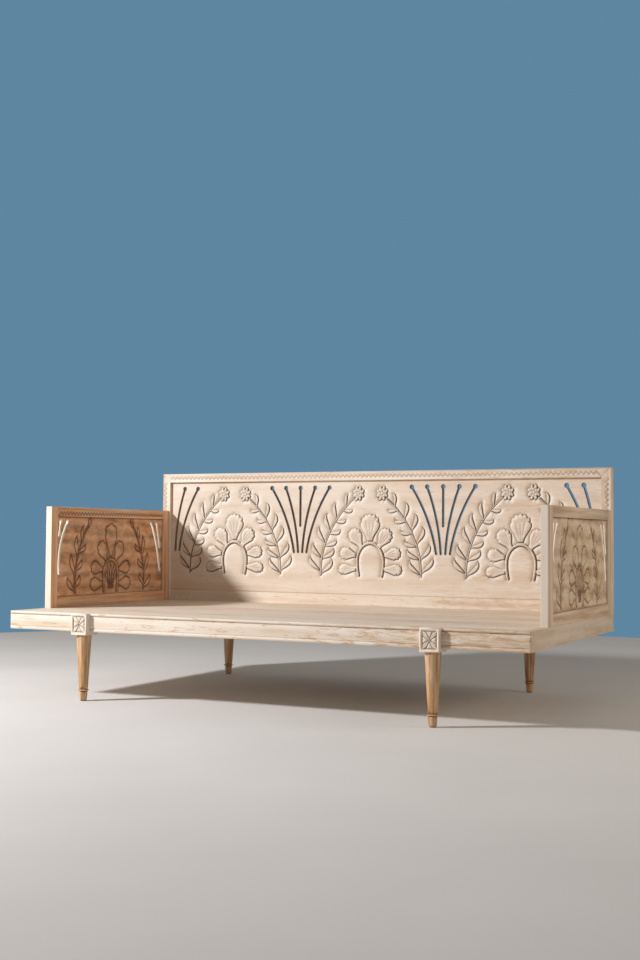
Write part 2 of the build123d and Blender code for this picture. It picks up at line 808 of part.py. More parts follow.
def arm_panel(side):
    """The carved and pierced panel of the arm on side."""
    inner_face = side * arm_middle - arm_panel_thickness / 2
    with BuildPart() as panel:
        block_at(around(side * arm_middle, arm_panel_thickness), arm_panel_y, arm_panel_z)
        with BuildSketch(Plane.YZ.offset(inner_face)):
            for head_y, foot_y, length, bow in arm_slots:
                head = (head_y, arm_head_height)
                foot = (foot_y, arm_head_height - length)
                with BuildLine(mode=Mode.PRIVATE):
                    centre_line = SagittaArc(head, foot, bow) if bow else Line(head, foot)
                SlotArc(centre_line, arm_slot_width)
                with Locations(head):
                    Circle(arm_slot_head_radius)
        extrude(amount=arm_panel_thickness, mode=Mode.SUBTRACT)
    return panel.part


for side, name in ((-1, "left"), (1, "right")):
    save(arm_stile(side, arm_opening[0], arm_front), f"arm_front_stile_{name}")
    save(arm_stile(side, arm_opening[1], arm_rear), f"arm_rear_stile_{name}")
    top_groove = (arm_panel_top, arm_panel_top + arm_groove_depth)
    save(
        arm_rail(side, arm_panel_top, arm_height, top_tenon_heights, top_groove, []),
        f"arm_top_rail_{name}",
    )
    bottom_groove = (arm_panel_bottom - arm_groove_depth, arm_panel_bottom)
    save(
        arm_rail(side, deck_height, arm_panel_bottom, bottom_tenon_heights, bottom_groove, arm_bolt_places),
        f"arm_bottom_rail_{name}",
    )
    save(arm_panel(side), f"arm_panel_{name}")

# Arm fixings: bolts up through the side rails, and screws from behind through the back's stiles.
with BuildPart() as arm_bolts:
    for x in (-arm_middle, arm_middle):
        for y in arm_bolt_places:
            seat = (x, y, back_bolt_seat - washer_thickness)
            bolt(seat, arm_bolt_radius, bolt_head_radius, deck_height + arm_bolt_reach - seat[2])
save(arm_bolts.part, "arm_bolts")

with BuildPart() as arm_washers:
    for x in (-arm_middle, arm_middle):
        for y in arm_bolt_places:
            start = (x, y, back_bolt_seat)
            sleeve(start, DOWN, washer_radius, arm_bolt_radius + hole_clearance, washer_thickness)
save(arm_washers.part, "arm_washers")

with BuildPart() as arm_inserts:
    for x in (-arm_middle, arm_middle):
        for y in arm_bolt_places:
            start = (x, y, deck_height)
            sleeve(start, UP, arm_insert_radius, arm_bolt_radius + hole_clearance, insert_length)
save(arm_inserts.part, "arm_inserts")

with BuildPart() as arm_screws:
    for x in (-arm_middle, arm_middle):
        for z in arm_screw_heights:
            screw((x, arm_screw_seat, z), (0, -1, 0), arm_screw_length)
save(arm_screws.part, "arm_screws")

with BuildPart() as screw_plugs:
    for x in (-arm_middle, arm_middle):
        for z in arm_screw_heights:
            rod((x, half_depth - plug_length, z), (0, 1, 0), plug_radius, plug_length)
save(screw_plugs.part, "screw_plugs")
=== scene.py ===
import math

import bmesh
import bpy
import numpy as np
from mathutils import Matrix, Vector, kdtree
from mathutils.geometry import delaunay_2d_cdt, interpolate_bezier


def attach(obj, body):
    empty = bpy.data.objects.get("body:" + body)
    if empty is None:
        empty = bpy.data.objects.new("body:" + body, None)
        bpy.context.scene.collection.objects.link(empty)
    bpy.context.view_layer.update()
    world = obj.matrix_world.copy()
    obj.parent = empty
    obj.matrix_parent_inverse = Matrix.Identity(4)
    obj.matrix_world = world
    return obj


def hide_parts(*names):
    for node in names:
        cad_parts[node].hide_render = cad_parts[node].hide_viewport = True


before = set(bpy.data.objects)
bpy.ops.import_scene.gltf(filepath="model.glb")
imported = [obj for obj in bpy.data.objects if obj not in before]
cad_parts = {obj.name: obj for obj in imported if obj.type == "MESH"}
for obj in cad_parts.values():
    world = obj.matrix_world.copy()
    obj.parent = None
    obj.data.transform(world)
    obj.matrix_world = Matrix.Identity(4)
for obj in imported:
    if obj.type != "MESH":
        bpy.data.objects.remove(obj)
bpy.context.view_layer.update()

# Studio: a round pale floor under a muted blue surround. One lamp stands at the left in front
# of the daybed, a weak warm one at its right end, and the surround fills the shadows softly.


def linear(colour):
    """The linear value of a colour that is written as sRGB hex."""
    parts = [int(colour[start:start + 2], 16) / 255 for start in (1, 3, 5)]
    return [c / 12.92 if c <= 0.04045 else ((c + 0.055) / 1.055) ** 2.4 for c in parts] + [1.0]


def add_node(tree, kind, inputs=None, stops=None, **settings):
    """Adds a node to a tree, sets its properties, and fills or links its inputs."""
    node = tree.nodes.new(kind)
    for name, value in settings.items():
        setattr(node, name, value)
    for name, value in (inputs or {}).items():
        if isinstance(value, bpy.types.NodeSocket):
            tree.links.new(value, node.inputs[name])
        else:
            node.inputs[name].default_value = value
    for number, (place, colour) in enumerate(stops or []):
        elements = node.color_ramp.elements
        element = elements[number] if number < len(elements) else elements.new(place)
        element.position = place
        element.color = linear(colour)
    return node


def new_material(name):
    """An empty material with a Principled shader, as (material, tree, shader)."""
    material = bpy.data.materials.new(name)
    material.use_nodes = True
    shader = material.node_tree.nodes["Principled BSDF"]
    return material, material.node_tree, shader


def mottled_material(name, per_metre, detail, tones):
    """A material of softly mottled tones, as (material, tree, shader, mottle).

    per_metre is how many patches of the mottle lie along a metre.
    """
    material, tree, shader = new_material(name)
    place = add_node(tree, "ShaderNodeTexCoord")
    mottle = add_node(
        tree, "ShaderNodeTexNoise",
        {"Vector": place.outputs["Object"], "Scale": per_metre, "Detail": detail},
    )
    tone = add_node(tree, "ShaderNodeValToRGB", {"Fac": mottle.outputs["Fac"]}, stops=tones)
    tree.links.new(tone.outputs["Color"], shader.inputs["Base Color"])
    return material, tree, shader, mottle


def mesh_object(name, mesh):
    """A new object at the origin, in the scene's own collection."""
    made = bpy.data.objects.new(name, mesh)
    bpy.context.scene.collection.objects.link(made)
    return made


def area_lamp(name, place, aim, size, power, colour):
    """A round lamp at place that shines at aim, in metres and watts."""
    data = bpy.data.lights.new(name, "AREA")
    data.shape = "DISK"
    data.size = size
    data.energy = power
    data.color = linear(colour)[:3]
    lamp = mesh_object(name, data)
    lamp.location = place
    lamp.rotation_euler = (Vector(aim) - Vector(place)).to_track_quat("-Z", "Y").to_euler()
    lamp.visible_camera = False


# Painted floor: matt, with a faint mottle in patches of about 0.6 m.
floor_radius = 3.6
floor_material, _, floor_shader, _ = mottled_material(
    "matt painted floor", per_metre=1.6, detail=6.0, tones=[(0.3, "#DDDCDB"), (0.7, "#E3E2E1")]
)
floor_shader.inputs["Roughness"].default_value = 0.85
floor_mesh = bpy.data.meshes.new("floor")
floor_build = bmesh.new()
bmesh.ops.create_circle(floor_build, cap_ends=True, radius=floor_radius, segments=256)
floor_build.to_mesh(floor_mesh)
floor_build.free()
floor_mesh.materials.append(floor_material)
mesh_object("floor", floor_mesh)

# Surround: a weak warm light from all sides, which the camera and reflections see as muted blue.
world = bpy.data.worlds.new("surround")
bpy.context.scene.world = world
world.use_nodes = True
world_tree = world.node_tree
surround = world_tree.nodes["Background"]
surround.inputs["Color"].default_value = linear("#F5E8D8")
surround.inputs["Strength"].default_value = 0.26
backdrop = add_node(
    world_tree, "ShaderNodeBackground", {"Color": linear("#5F86A1"), "Strength": 1.0}
)
rays = add_node(world_tree, "ShaderNodeLightPath")
seen = add_node(
    world_tree, "ShaderNodeMath",
    {0: rays.outputs["Is Camera Ray"], 1: rays.outputs["Is Glossy Ray"]},
    operation="MAXIMUM",
)
surround_mix = add_node(
    world_tree, "ShaderNodeMixShader",
    {0: seen.outputs[0], 1: surround.outputs[0], 2: backdrop.outputs[0]},
)
world_tree.links.new(surround_mix.outputs[0], world_tree.nodes["World Output"].inputs["Surface"])

area_lamp(
    "key lamp", (-3.1, -2.9, 2.65), aim=(0.1, 0.0, 0.45), size=0.45, power=228.0, colour="#FFFDFC"
)
area_lamp(
    "fill lamp", (3.3, 0.3, 1.4), aim=(0.4, 0.0, 0.5), size=0.9, power=20.0, colour="#FFEFDC"
)
bpy.context.scene.view_settings.view_transform = "Standard"

# Camera: low in front of the right-hand arm, turned to the left along the daybed.
camera_data = bpy.data.cameras.new("camera")
camera_data.lens = 48.84
camera = mesh_object("camera", camera_data)
camera_place = (2.1907, -4.4868, 0.6142)
turn, tilt, roll = (math.radians(angle) for angle in (25.86, 2.42, 0.45))
camera.matrix_world = (
    Matrix.Translation(camera_place)
    @ Matrix.Rotation(turn, 4, "Z")
    @ Matrix.Rotation(math.pi / 2 + tilt, 4, "X")
    @ Matrix.Rotation(roll, 4, "Z")
)
bpy.context.scene.camera = camera

# Rails round the deck: solid mango wood, planed and moulded, then rubbed with a thin white wash.
# The wash leaves a pale, dry face, and faint pinkish and yellow streaks of the grain show through.
MM = 0.001
pale_tones = [(0.18, "#C4A78D"), (0.38, "#DAC4AD"), (0.58, "#E6D8C8"), (0.82, "#EFE6DB")]
wash_white = "#EEE6DC"
bare_brown = "#BC8F5C"

# Sizes in mm across and along the fibres. The fibres and pores are 2 mm apart where the real ones
# are 0.3 mm, so that they show. Flecks are the spots where the sanding went through the wash.
fibre_size = (2.0, 70.0)
blotch_size = (70.0, 260.0)
fleck_size = (11.0, 60.0)
flame_length = 1600.0
fibre_height = 0.4


def washed_wood(
    name, along, tones, start=(0.0, 0.0, 0.0), streak=26.0, run=620.0, wash=0.35, worn=0.3,
    bare_end=0.0, stain_and_shade=None, coat=None, rough=0.62,
):
    """White-washed mango wood whose fibres run along the axis X, Y or Z.

    streak and run are the width and the length of the streaks in mm. wash and worn are how far
    the white and the bare wood cover the tones, and bare_end is how much more of the bare wood
    comes through towards the +X end. stain_and_shade is the (colour, strength, shallowest cut) of
    the dark colour left in the cuts, partly real stain and partly painted shade of the hollows.
    coat is the (direction, cover) of painted light: a paler wash on the surfaces
    that face that way, towards the lamp.
    """
    material, tree, shader = new_material(name)
    place = add_node(tree, "ShaderNodeTexCoord")
    moved = add_node(
        tree, "ShaderNodeMapping", {"Vector": place.outputs["Object"], "Location": start}
    )
    parts = add_node(tree, "ShaderNodeSeparateXYZ", {"Vector": moved.outputs["Vector"]})
    first, second = (axis for axis in "XYZ" if axis != along)
    grain = add_node(
        tree, "ShaderNodeCombineXYZ",
        {"X": parts.outputs[first], "Y": parts.outputs[second], "Z": parts.outputs[along]},
    )

    def stretched(across, lengthwise):
        """The place, counted in steps of these sizes in mm."""
        steps = [1 / (size * MM) for size in (across, across, lengthwise)]
        scaled = {0: grain.outputs["Vector"], 1: steps}
        return add_node(tree, "ShaderNodeVectorMath", scaled, operation="MULTIPLY").outputs[0]

    # Growth rings a streak's width apart, fibres, blotches of the wash, and worn flecks.
    rings, fibres, blotches, flecks = (
        add_node(
            tree, "ShaderNodeTexNoise", {"Vector": stretched(*size), "Scale": 1.0, **noise}
        ).outputs["Fac"]
        for size, noise in (
            ((streak, run), {"Detail": 5.0, "Roughness": 0.6, "Distortion": 0.3}),
            (fibre_size, {"Detail": 3.0, "Roughness": 0.6}),
            (blotch_size, {"Detail": 4.0, "Roughness": 0.55}),
            (fleck_size, {"Detail": 3.0, "Roughness": 0.6, "Distortion": 0.8}),
        )
    )
    # Flames, where the saw cut the growth rings slantwise.
    flames = add_node(
        tree, "ShaderNodeTexWave",
        {
            "Vector": stretched(streak * 3.2, flame_length), "Scale": 1.0, "Distortion": 6.0,
            "Detail": 3.0, "Detail Scale": 0.8, "Detail Roughness": 0.6,
        },
        bands_direction="DIAGONAL",
    ).outputs["Fac"]
    figure = add_node(tree, "ShaderNodeMix", {"Factor": 0.16, "A": rings, "B": flames})
    with_fibres = add_node(
        tree, "ShaderNodeMix", {"Factor": 0.2, "A": figure.outputs["Result"], "B": fibres}
    )
    tone = add_node(
        tree, "ShaderNodeValToRGB", {"Fac": with_fibres.outputs["Result"]}, stops=tones
    )

    # Layers over the tones of the wood: the wash, bare brown where it is worn through, the stain
    # and painted shade in the cuts, and painted light as a paler wash on the faces turned to the
    # lamp, as (colour, value, where it is bare, where it is full, full cover).
    world_place = add_node(tree, "ShaderNodeSeparateXYZ", {"Vector": place.outputs["Object"]})
    worn_from = add_node(
        tree, "ShaderNodeMapRange",
        {
            "Value": world_place.outputs["X"], "From Min": 0.1, "From Max": 1.0,
            "To Min": 0.58, "To Max": 0.58 - bare_end,
        },
    )
    layers = [
        (wash_white, blotches, 0.36, 0.64, wash),
        (bare_brown, flecks, worn_from.outputs["Result"], 0.74, worn),
    ]
    # Stain in the cuts, the darker the deeper, which partly paints the shade of the hollows.
    if stain_and_shade:
        stain_and_shade_colour, strength, shallowest = stain_and_shade
        cut = add_node(tree, "ShaderNodeAttribute", attribute_name="cut")
        layers.append((stain_and_shade_colour, cut.outputs["Fac"], shallowest, 0.7, strength))
    # Painted light: a paler wash on the surfaces that face the given way, towards the lamp.
    if coat:
        direction, coat_cover = coat
        facing_light = add_node(
            tree, "ShaderNodeVectorMath",
            {0: place.outputs["Normal"], 1: Vector(direction).normalized()},
            operation="DOT_PRODUCT",
        )
        layers.append((wash_white, facing_light.outputs["Value"], 0.02, 0.3, coat_cover))
    colour = tone.outputs["Color"]
    for layer_colour, value, bare_at, full_at, full_cover in layers:
        cover = add_node(
            tree, "ShaderNodeMapRange",
            {"Value": value, "From Min": bare_at, "From Max": full_at, "To Max": full_cover},
        )
        colour = add_node(
            tree, "ShaderNodeMix",
            {6: colour, 7: linear(layer_colour), 0: cover.outputs["Result"]},
            data_type="RGBA",
        ).outputs[2]
    tree.links.new(colour, shader.inputs["Base Color"])

    # The pores between the fibres are duller than the wood, and a little sunk.
    gloss = add_node(
        tree, "ShaderNodeMapRange",
        {
            "Value": fibres, "From Min": 0.3, "From Max": 0.7,
            "To Min": rough + 0.08, "To Max": rough - 0.06,
        },
    )
    tree.links.new(gloss.outputs["Result"], shader.inputs["Roughness"])
    bump = add_node(
        tree, "ShaderNodeBump", {"Height": fibres, "Strength": 0.3, "Distance": fibre_height * MM}
    )
    tree.links.new(bump.outputs["Normal"], shader.inputs["Normal"])
    shader.inputs["IOR"].default_value = 1.46
    return material


def dress(material, *nodes):
    """Gives CAD nodes their finish."""
    for node in nodes:
        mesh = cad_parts[node].data
        mesh.materials.clear()
        mesh.materials.append(material)


# Front and rear rail: bare yellow patches towards the right end. The side rails are a tone darker.
rail_wood = washed_wood(
    "washed mango, front and rear rail", "X", pale_tones, wash=0.5, worn=0.9, bare_end=0.3
)
side_rail_wood = washed_wood(
    "washed mango, side rail", "Y",
    [(0.18, "#B09478"), (0.38, "#C7AD92"), (0.58, "#D6C2AC"), (0.82, "#E3D5C4")],
    start=(0.4, 0.1, 0.7), wash=0.3,
)
dress(rail_wood, "front_rail", "rear_rail")
dress(side_rail_wood, "left_rail", "right_rail")

# Deck planks: seven washed boards, each from another part of the log, so each has its own tone.
# The front plank is the palest. They are screwed to the bearers from below.
plank_colours = [
    ("#CDB497", "#DFCDB6", "#EADFCF", "#F1EADF"),
    ("#C2A288", "#D6BBA2", "#E2CEB9", "#ECDECE"),
    ("#C7AA91", "#DCC6AF", "#E7D8C6", "#EFE6DA"),
    ("#BF9E82", "#D4B89D", "#E1CCB5", "#EADCCA"),
    ("#C8AA90", "#DCC5AE", "#E8D8C6", "#F0E7DB"),
    ("#C2A287", "#D7BDA3", "#E4D0BA", "#EDE0D0"),
    ("#BF9E83", "#D5BAA0", "#E2CDB7", "#EBDECD"),
]
plank_shift = Vector((0.73, 0.19, 0.31))
for number, colours in enumerate(plank_colours, start=1):
    plank_wood = washed_wood(
        f"washed mango, plank {number}", "X", list(zip((0.15, 0.4, 0.7, 0.9), colours)),
        start=plank_shift * number, streak=34.0, wash=0.55, worn=0.3, bare_end=0.15,
    )
    dress(plank_wood, f"deck_plank_{number}")

# Bearers and cleats: plain sawn mango under the deck, left without the wash, so it is darker
# and duller. The dowels and loose tenons of the frame are made from its offcuts.
bearer_wood = washed_wood(
    "sawn mango, bearer", "Y",
    [(0.2, "#9A7452"), (0.45, "#B58C66"), (0.7, "#C6A07A"), (0.9, "#D3B08C")],
    streak=18.0, wash=0.05, rough=0.75,
)
for number in range(1, 6):
    dress(bearer_wood, f"cross_bearer_{number}")
dress(bearer_wood, "end_cleat_left", "end_cleat_right", "rail_dowels", "mitre_keys")

# Legs: turned from one piece of mango and rubbed with wax instead of the wash, so they are tan
# and a little glossier. The ring stands out between two quirks that hold dark stain. A hanger
# bolt holds each leg in its block.


def merged_copy(node, axis):
    """The mesh of a CAD node as a bmesh with its loose triangles joined, in mm.

    Faces that turn away from the axis, as the walls of slots do, get material slot 1.
    """
    build = bmesh.new()
    build.from_mesh(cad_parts[node].data)
    bmesh.ops.scale(build, vec=(1 / MM,) * 3, verts=build.verts)
    bmesh.ops.remove_doubles(build, verts=build.verts, dist=0.005)
    for face in build.faces:
        face.material_index = int(abs(face.normal[axis]) < 0.5)
    return build


def finish_piece(build, node, *materials, work="carved"):
    """Makes the worked mesh the piece that stands for its CAD node."""
    bmesh.ops.scale(build, vec=(MM,) * 3, verts=build.verts)
    mesh = bpy.data.meshes.new(f"{node}_{work}")
    build.to_mesh(mesh)
    build.free()
    mesh.polygons.foreach_set("use_smooth", [True] * len(mesh.polygons))
    mesh.set_sharp_from_angle(angle=math.radians(40.0))
    for material in materials:
        mesh.materials.append(material)
    piece = mesh_object(f"{node}_{work}", mesh)
    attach(piece, "root")
    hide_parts(node)


turned_wood = washed_wood(
    "waxed mango, turned", "Z",
    [(0.34, "#93653F"), (0.46, "#BE8C59"), (0.57, "#D8AC7B"), (0.7, "#E6C69C")],
    streak=9.0, run=130.0, wash=0.2, worn=0.3, stain_and_shade=("#5E3A1E", 0.9, 0.1), rough=0.5,
)
# Heights over the floor in mm, and distances from the middle of the leg.
ring_low = 36.0
ring_high = 43.0
ring_swell = 2.2
quirk_width = 2.5
quirk_radius = 14.6
corners = [f"{end}_{side}" for end in ("front", "rear") for side in ("left", "right")]
for corner in corners:
    leg = merged_copy(f"leg_{corner}", 2)
    cut_layer = leg.verts.layers.float.new("cut")
    sides = zip(*(vertex.co.xy for vertex in leg.verts))
    middle = Vector([(min(side) + max(side)) / 2 for side in sides])
    for vertex in leg.verts:
        out = vertex.co.xy - middle
        up_the_ring = (vertex.co.z - ring_low) / (ring_high - ring_low)
        near_ring = ring_low - quirk_width < vertex.co.z < ring_high + quirk_width
        if 0 < up_the_ring < 1:
            swell = ring_swell * math.sin(math.pi * up_the_ring)
            vertex.co.xy = middle + out * (1 + swell / out.length)
        elif near_ring and out.length < quirk_radius:
            vertex[cut_layer] = 1.0
    finish_piece(leg, f"leg_{corner}", turned_wood, turned_wood, work="turned")

# Screws, bolts, washers and threaded inserts: steel with a bright zinc plating, slightly cloudy
# in patches of about 1 mm.
steel, steel_tree, steel_shader, steel_cloud = mottled_material(
    "zinc-plated steel", per_metre=900.0, detail=2.0, tones=[(0.3, "#9C9FA3"), (0.7, "#B9BCC0")]
)
steel_shader.inputs["Metallic"].default_value = 1.0
steel_gloss = add_node(
    steel_tree, "ShaderNodeMapRange",
    {"Value": steel_cloud.outputs["Fac"], "To Min": 0.28, "To Max": 0.45},
)
steel_tree.links.new(steel_gloss.outputs["Result"], steel_shader.inputs["Roughness"])
dress(
    steel, "leg_bolts", "leg_inserts", "block_screws", "deck_screws", "back_bolts", "back_washers",
    "back_inserts", "arm_bolts", "arm_washers", "arm_inserts", "arm_screws",
)

# Glides under the feet: moulded nylon, brown, half matt, with a grain of about 0.8 mm.
nylon, _, nylon_shader, _ = mottled_material(
    "moulded nylon", per_metre=1200.0, detail=2.0, tones=[(0.3, "#7B6A57"), (0.7, "#8C7A66")]
)
nylon_shader.inputs["Roughness"].default_value = 0.5
dress(nylon, "foot_glides")

# Back panel: one glued-up mango board, pierced by the fans of slots and carved on both faces with
# three medallions, a plain dome in a ring of petals, each between two leafy sprigs with a flower.
# The carver sinks the ground towards each leaf and petal and leaves their faces at board level.
# Sizes are in mm, and those of a motif start from the middle of its pattern and from the floor.


def walk_loops(edges):
    """Closed loops of vertices along boundary edges."""
    after = {}
    for edge in edges:
        for vertex in edge.verts:
            after.setdefault(vertex, []).append(edge)
    loops = []
    left = dict.fromkeys(edges)
    while left:
        edge, _ = left.popitem()
        first, here = edge.verts
        loop = [first, here]
        while here != first:
            edge = next(other for other in after[here] if other in left)
            del left[edge]
            here = edge.other_vert(here)
            loop.append(here)
        loops.append(loop[:-1])
    return loops


def signed_area(points):
    """Area inside a closed line, below zero where the line runs clockwise."""
    return 0.5 * sum(a[0] * b[1] - b[0] * a[1] for a, b in zip(points, points[1:] + points[:1]))


def resampled(points, step, closed=True):
    """The same line with points at even steps."""
    line = np.array(points + points[:1] if closed else points, float)
    lengths = np.concatenate([[0], np.cumsum(np.hypot(*np.diff(line, axis=0).T))])
    count = max(3, int(round(lengths[-1] / step)))
    wanted = np.linspace(0, lengths[-1], count + 1)
    even = np.stack([np.interp(wanted, lengths, line[:, side]) for side in (0, 1)], axis=1)
    return [tuple(p) for p in (even[:-1] if closed else even)]


def beside(points, distance, closed=True):
    """Points at a distance to the left of a line."""
    line = np.array(points)
    run = np.gradient(line, axis=0)
    if closed:
        run = np.roll(line, -1, axis=0) - np.roll(line, 1, axis=0)
    run /= np.maximum(np.hypot(*run.T), 1e-9)[:, None]
    return [tuple(p) for p in line + distance * np.stack([-run[:, 1], run[:, 0]], axis=1)]


def search_tree(samples):
    """A search tree of samples in the plane."""
    tree = kdtree.KDTree(len(samples))
    for number, sample in enumerate(samples):
        tree.insert((sample[0], sample[1], 0.0), number)
    tree.balance()
    return tree


def near(samples, points):
    """Distance of each point from the nearest sample."""
    if not samples:
        return np.full(len(points), np.inf)
    tree = search_tree(samples)
    return np.array([tree.find((u, v, 0.0))[2] for u, v in points])


def open_face(build, axis, level, outwards):
    """Takes the flat face at level out of build and returns its rims, the outer one first."""
    flat = [
        face
        for face in build.faces
        if face.normal[axis] * outwards > 0.99
        and all(abs(v.co[axis] - level) < 0.02 for v in face.verts)
    ]
    inside = set(flat)
    rim = [e for face in flat for e in face.edges if sum(f in inside for f in e.link_faces) == 1]
    loops = [[(v.co[1 - axis], v.co[2]) for v in loop] for loop in walk_loops(rim)]
    bmesh.ops.delete(build, geom=flat, context="FACES")
    return sorted(loops, key=lambda loop: -abs(signed_area(loop)))


def drawn_plan(rims, motifs, cuts, pits, field, grid, step, frame_shade_width):
    """The plan of a carved face, as (points, triangles, kinds of each triangle).

    Every outline and cut gets free points beside it, so that the slopes there come out even, and
    a lattice fills the rest of the face.
    """
    points, edges, faces, kinds, free = [], [], [], [], []

    def draw(line, kind):
        """Adds a closed line, turned anticlockwise."""
        line = line if signed_area(line) > 0 else line[::-1]
        numbers = list(range(len(points), len(points) + len(line)))
        points.extend(line)
        edges.extend(zip(numbers, numbers[1:] + numbers[:1]))
        faces.append(numbers)
        kinds.append(kind)
        return line

    for number, rim in enumerate(rims):
        line = draw(rim, "opening" if number else "board")
        if frame_shade_width and not number:
            free += beside(resampled(line, 4.0), frame_shade_width / 2) + beside(line, frame_shade_width)
    if field:
        line = draw(resampled(field, 3.0), "field")
        free += beside(line, 1.0) + beside(line, 3.0) + beside(line, -1.0)
    for outline in motifs:
        line = draw(resampled(outline, 3.2), "motif")
        free += beside(line, 1.4) + beside(line, 4.0)[::2]
        free += beside(line, -1.8) + beside(line, -5.0)[::2]
    for outline in pits:
        line = draw(resampled(outline, 2.0), "pit")
        free += beside(line, 1.2) + beside(line, 2.6)[::2]
    for line, half_width, _ in cuts:
        line = resampled(line, step, closed=False)
        numbers = range(len(points), len(points) + len(line))
        points.extend(line)
        edges.extend(zip(numbers, numbers[1:]))
        free += beside(line, half_width, False) + beside(line, -half_width, False)

    u_values, v_values = zip(*rims[0])
    rows = np.arange(min(v_values) + grid / 2, max(v_values), grid * 0.866)
    columns = np.arange(min(u_values) + grid / 2, max(u_values), grid)
    lattice = [(u + number % 2 * grid / 2, v) for number, v in enumerate(rows) for u in columns]
    free += [p for p, gap in zip(lattice, near(points + free, lattice)) if gap > grid * 0.45]
    margin = 0.6
    points += [
        (u, v)
        for u, v in free
        if min(u_values) + margin < u < max(u_values) - margin
        and min(v_values) + margin < v < max(v_values) - margin
    ]
    tolerance = 1e-4
    out, _, triangles, _, _, owners = delaunay_2d_cdt(
        [Vector(p) for p in points], edges, faces, 0, tolerance, True
    )
    owned = [{kinds[number] for number in owner} for owner in owners]
    kept = [n for n, kind in enumerate(owned) if "board" in kind and "opening" not in kind]
    return out, [tuple(triangles[n]) for n in kept], [owned[n] for n in kept]


def border_edges(triangles, inside):
    """Edges between triangles that are inside and those that aren't, run as in the inside ones."""
    edges = {True: set(), False: set()}
    for triangle, flag in zip(triangles, inside):
        for a, b in zip(triangle, triangle[1:] + triangle[:1]):
            edges[flag].add((a, b) if flag else (b, a))
    return sorted(edges[True] & edges[False])


border_step = 0.8


def border(out, triangles, inside):
    """Samples along the border between triangles that are inside and those that aren't."""
    made = []
    for edge in border_edges(triangles, inside):
        start, end = out[min(edge)], out[max(edge)]
        steps = max(1, int((end - start).length / border_step))
        made += [tuple(start.lerp(end, step / steps)) for step in range(steps + 1)]
    return made


def wholly(count, triangles, inside):
    """Which points have only triangles that are inside round them."""
    some, others = np.zeros(count, bool), np.zeros(count, bool)
    for triangle, flag in zip(triangles, inside):
        (some if flag else others)[list(triangle)] = True
    return some & ~others


# Painted shade falls this way from each motif: down and to the right, away from the lamp.
shade_direction = (0.86, -0.5)


def shade_side_of_motifs(out, triangles, inside, places):
    """How far each place lies on the shaded side of its motif, for the painted shade.

    The light falls from the upper left, so this is 1 on the lower right side of a motif, in its
    shade, and -1 on the upper left one.
    """
    samples, shares = [], []
    for a, b in border_edges(triangles, inside):
        run = out[b] - out[a]
        steps = max(1, int(run.length / border_step))
        samples += [out[a].lerp(out[b], (step + 0.5) / steps) for step in range(steps)]
        shares += [(shade_direction[0] * run[1] - shade_direction[1] * run[0]) / run.length] * steps
    tree = search_tree(samples)
    return np.array([shares[tree.find((u, v, 0.0))[1]] for u, v in places])


rim_step = 1.5
run_out = 5.0


